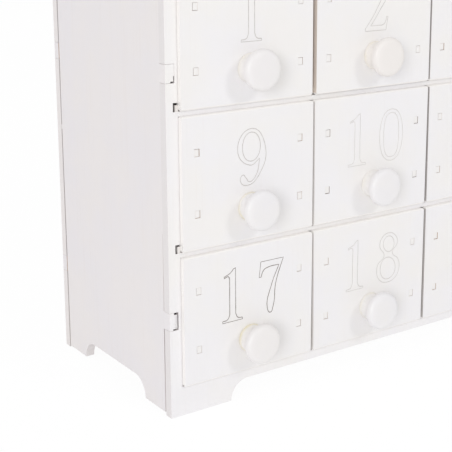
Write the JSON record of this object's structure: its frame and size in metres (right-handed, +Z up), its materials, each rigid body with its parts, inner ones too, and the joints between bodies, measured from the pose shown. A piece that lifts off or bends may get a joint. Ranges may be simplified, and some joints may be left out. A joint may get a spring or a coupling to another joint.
{
  "type": "advent calendar",
  "caption": "Low free-standing cabinet of white painted plywood with rows of small numbered drawers, each pulled out by a round knob.",
  "frame": {"origin": "the middle of the bounding box's bottom face, on the surface the cabinet stands on", "axes": "+X to the right as seen from the front, +Y to the back, +Z up"},
  "size_m": [0.53, 0.1076, 0.184],
  "materials": {
    "carcass_paint": "satin white paint on plywood",
    "drawer_paint": "satin white paint on plywood",
    "knob_paint": "satin white paint on turned wood"
  },
  "bodies": {
    "carcass": {"front_panel": "carcass_paint", "back_panel": "carcass_paint", "left_side": "carcass_paint", "right_side": "carcass_paint", "top_board": "carcass_paint", "dividers": "carcass_paint", "bottom_shelf": "carcass_paint", "middle_shelf": "carcass_paint", "upper_shelf": "carcass_paint"},
    "drawer_01": {"drawer_01": "drawer_paint", "knob_01": "knob_paint"},
    "drawer_02": {"drawer_02": "drawer_paint", "knob_02": "knob_paint"},
    "drawer_03": {"drawer_03": "drawer_paint", "knob_03": "knob_paint"},
    "drawer_04": {"drawer_04": "drawer_paint", "knob_04": "knob_paint"},
    "drawer_05": {"drawer_05": "drawer_paint", "knob_05": "knob_paint"},
    "drawer_06": {"drawer_06": "drawer_paint", "knob_06": "knob_paint"},
    "drawer_07": {"drawer_07": "drawer_paint", "knob_07": "knob_paint"},
    "drawer_08": {"drawer_08": "drawer_paint", "knob_08": "knob_paint"},
    "drawer_09": {"drawer_09": "drawer_paint", "knob_09": "knob_paint"},
    "drawer_10": {"drawer_10": "drawer_paint", "knob_10": "knob_paint"},
    "drawer_11": {"drawer_11": "drawer_paint", "knob_11": "knob_paint"},
    "drawer_12": {"drawer_12": "drawer_paint", "knob_12": "knob_paint"},
    "drawer_13": {"drawer_13": "drawer_paint", "knob_13": "knob_paint"},
    "drawer_14": {"drawer_14": "drawer_paint", "knob_14": "knob_paint"},
    "drawer_15": {"drawer_15": "drawer_paint", "knob_15": "knob_paint"},
    "drawer_16": {"drawer_16": "drawer_paint", "knob_16": "knob_paint"},
    "drawer_17": {"drawer_17": "drawer_paint", "knob_17": "knob_paint"},
    "drawer_18": {"drawer_18": "drawer_paint", "knob_18": "knob_paint"},
    "drawer_19": {"drawer_19": "drawer_paint", "knob_19": "knob_paint"},
    "drawer_20": {"drawer_20": "drawer_paint", "knob_20": "knob_paint"},
    "drawer_21": {"drawer_21": "drawer_paint", "knob_21": "knob_paint"},
    "drawer_22": {"drawer_22": "drawer_paint", "knob_22": "knob_paint"},
    "drawer_23": {"drawer_23": "drawer_paint", "knob_23": "knob_paint"},
    "drawer_24": {"drawer_24": "drawer_paint", "knob_24": "knob_paint"}
  },
  "joints": [
    {"name": "drawer_01_slide", "type": "slide", "parent": "carcass", "child": "drawer_01", "axis": [0, -1, 0], "range_m": [0, 0.075]},
    {"name": "drawer_02_slide", "type": "slide", "parent": "carcass", "child": "drawer_02", "axis": [0, -1, 0], "range_m": [0, 0.075]},
    {"name": "drawer_03_slide", "type": "slide", "parent": "carcass", "child": "drawer_03", "axis": [0, -1, 0], "range_m": [0, 0.075]},
    {"name": "drawer_04_slide", "type": "slide", "parent": "carcass", "child": "drawer_04", "axis": [0, -1, 0], "range_m": [0, 0.075]},
    {"name": "drawer_05_slide", "type": "slide", "parent": "carcass", "child": "drawer_05", "axis": [0, -1, 0], "range_m": [0, 0.075]},
    {"name": "drawer_06_slide", "type": "slide", "parent": "carcass", "child": "drawer_06", "axis": [0, -1, 0], "range_m": [0, 0.075]},
    {"name": "drawer_07_slide", "type": "slide", "parent": "carcass", "child": "drawer_07", "axis": [0, -1, 0], "range_m": [0, 0.075]},
    {"name": "drawer_08_slide", "type": "slide", "parent": "carcass", "child": "drawer_08", "axis": [0, -1, 0], "range_m": [0, 0.075]},
    {"name": "drawer_09_slide", "type": "slide", "parent": "carcass", "child": "drawer_09", "axis": [0, -1, 0], "range_m": [0, 0.075]},
    {"name": "drawer_10_slide", "type": "slide", "parent": "carcass", "child": "drawer_10", "axis": [0, -1, 0], "range_m": [0, 0.075]},
    {"name": "drawer_11_slide", "type": "slide", "parent": "carcass", "child": "drawer_11", "axis": [0, -1, 0], "range_m": [0, 0.075]},
    {"name": "drawer_12_slide", "type": "slide", "parent": "carcass", "child": "drawer_12", "axis": [0, -1, 0], "range_m": [0, 0.075]},
    {"name": "drawer_13_slide", "type": "slide", "parent": "carcass", "child": "drawer_13", "axis": [0, -1, 0], "range_m": [0, 0.075]},
    {"name": "drawer_14_slide", "type": "slide", "parent": "carcass", "child": "drawer_14", "axis": [0, -1, 0], "range_m": [0, 0.075]},
    {"name": "drawer_15_slide", "type": "slide", "parent": "carcass", "child": "drawer_15", "axis": [0, -1, 0], "range_m": [0, 0.075]},
    {"name": "drawer_16_slide", "type": "slide", "parent": "carcass", "child": "drawer_16", "axis": [0, -1, 0], "range_m": [0, 0.075]},
    {"name": "drawer_17_slide", "type": "slide", "parent": "carcass", "child": "drawer_17", "axis": [0, -1, 0], "range_m": [0, 0.075]},
    {"name": "drawer_18_slide", "type": "slide", "parent": "carcass", "child": "drawer_18", "axis": [0, -1, 0], "range_m": [0, 0.075]},
    {"name": "drawer_19_slide", "type": "slide", "parent": "carcass", "child": "drawer_19", "axis": [0, -1, 0], "range_m": [0, 0.075]},
    {"name": "drawer_20_slide", "type": "slide", "parent": "carcass", "child": "drawer_20", "axis": [0, -1, 0], "range_m": [0, 0.075]},
    {"name": "drawer_21_slide", "type": "slide", "parent": "carcass", "child": "drawer_21", "axis": [0, -1, 0], "range_m": [0, 0.075]},
    {"name": "drawer_22_slide", "type": "slide", "parent": "carcass", "child": "drawer_22", "axis": [0, -1, 0], "range_m": [0, 0.075]},
    {"name": "drawer_23_slide", "type": "slide", "parent": "carcass", "child": "drawer_23", "axis": [0, -1, 0], "range_m": [0, 0.075]},
    {"name": "drawer_24_slide", "type": "slide", "parent": "carcass", "child": "drawer_24", "axis": [0, -1, 0], "range_m": [0, 0.075]}
  ]
}
